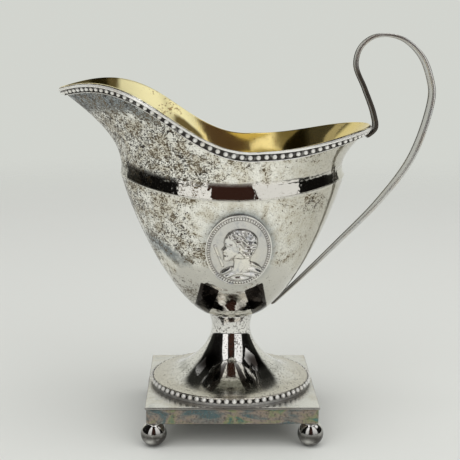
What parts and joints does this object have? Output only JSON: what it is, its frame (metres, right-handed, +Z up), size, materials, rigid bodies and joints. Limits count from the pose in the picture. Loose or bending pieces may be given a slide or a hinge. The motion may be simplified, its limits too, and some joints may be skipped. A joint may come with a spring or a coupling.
{
  "type": "cream jug",
  "caption": "Helmet-shaped silver cream jug for pouring: beaded saddle rim with spout, tall strap handle, oval medallion, trumpet foot and a square plinth on ball feet.",
  "frame": {"origin": "on the surface that the jug stands on, under the middle of its overall length and width; the foot's upright axis stands 5.4 mm from it, towards the spout", "axes": "+Z up; -X towards the spout, +X towards the handle; -Y is the side with the medallion"},
  "size_m": [0.1496, 0.081, 0.1591],
  "materials": {
    "tarnished_silver": "old silver with fine brown-grey speckled tarnish, gilt on the inside of the jug",
    "polished_silver": "bright worn silver",
    "satin_silver": "soft satin silver",
    "dulled_silver": "dull silver with mottled blue, olive and brown tarnish"
  },
  "bodies": {
    "root": {"ball_foot_front_left": "polished_silver", "ball_foot_front_right": "polished_silver", "ball_foot_back_left": "polished_silver", "ball_foot_back_right": "polished_silver", "plinth_base_frame": "dulled_silver", "plinth_skirt": "dulled_silver", "plinth_top": "satin_silver", "foot_bead_ring": "polished_silver", "pedestal_foot": "polished_silver", "lower_bowl": "tarnished_silver", "neck": "tarnished_silver", "rim_bead_band": "polished_silver", "handle_strap": "satin_silver", "medallion": "satin_silver", "medallion_bezel": "satin_silver"}
  },
  "joints": []
}
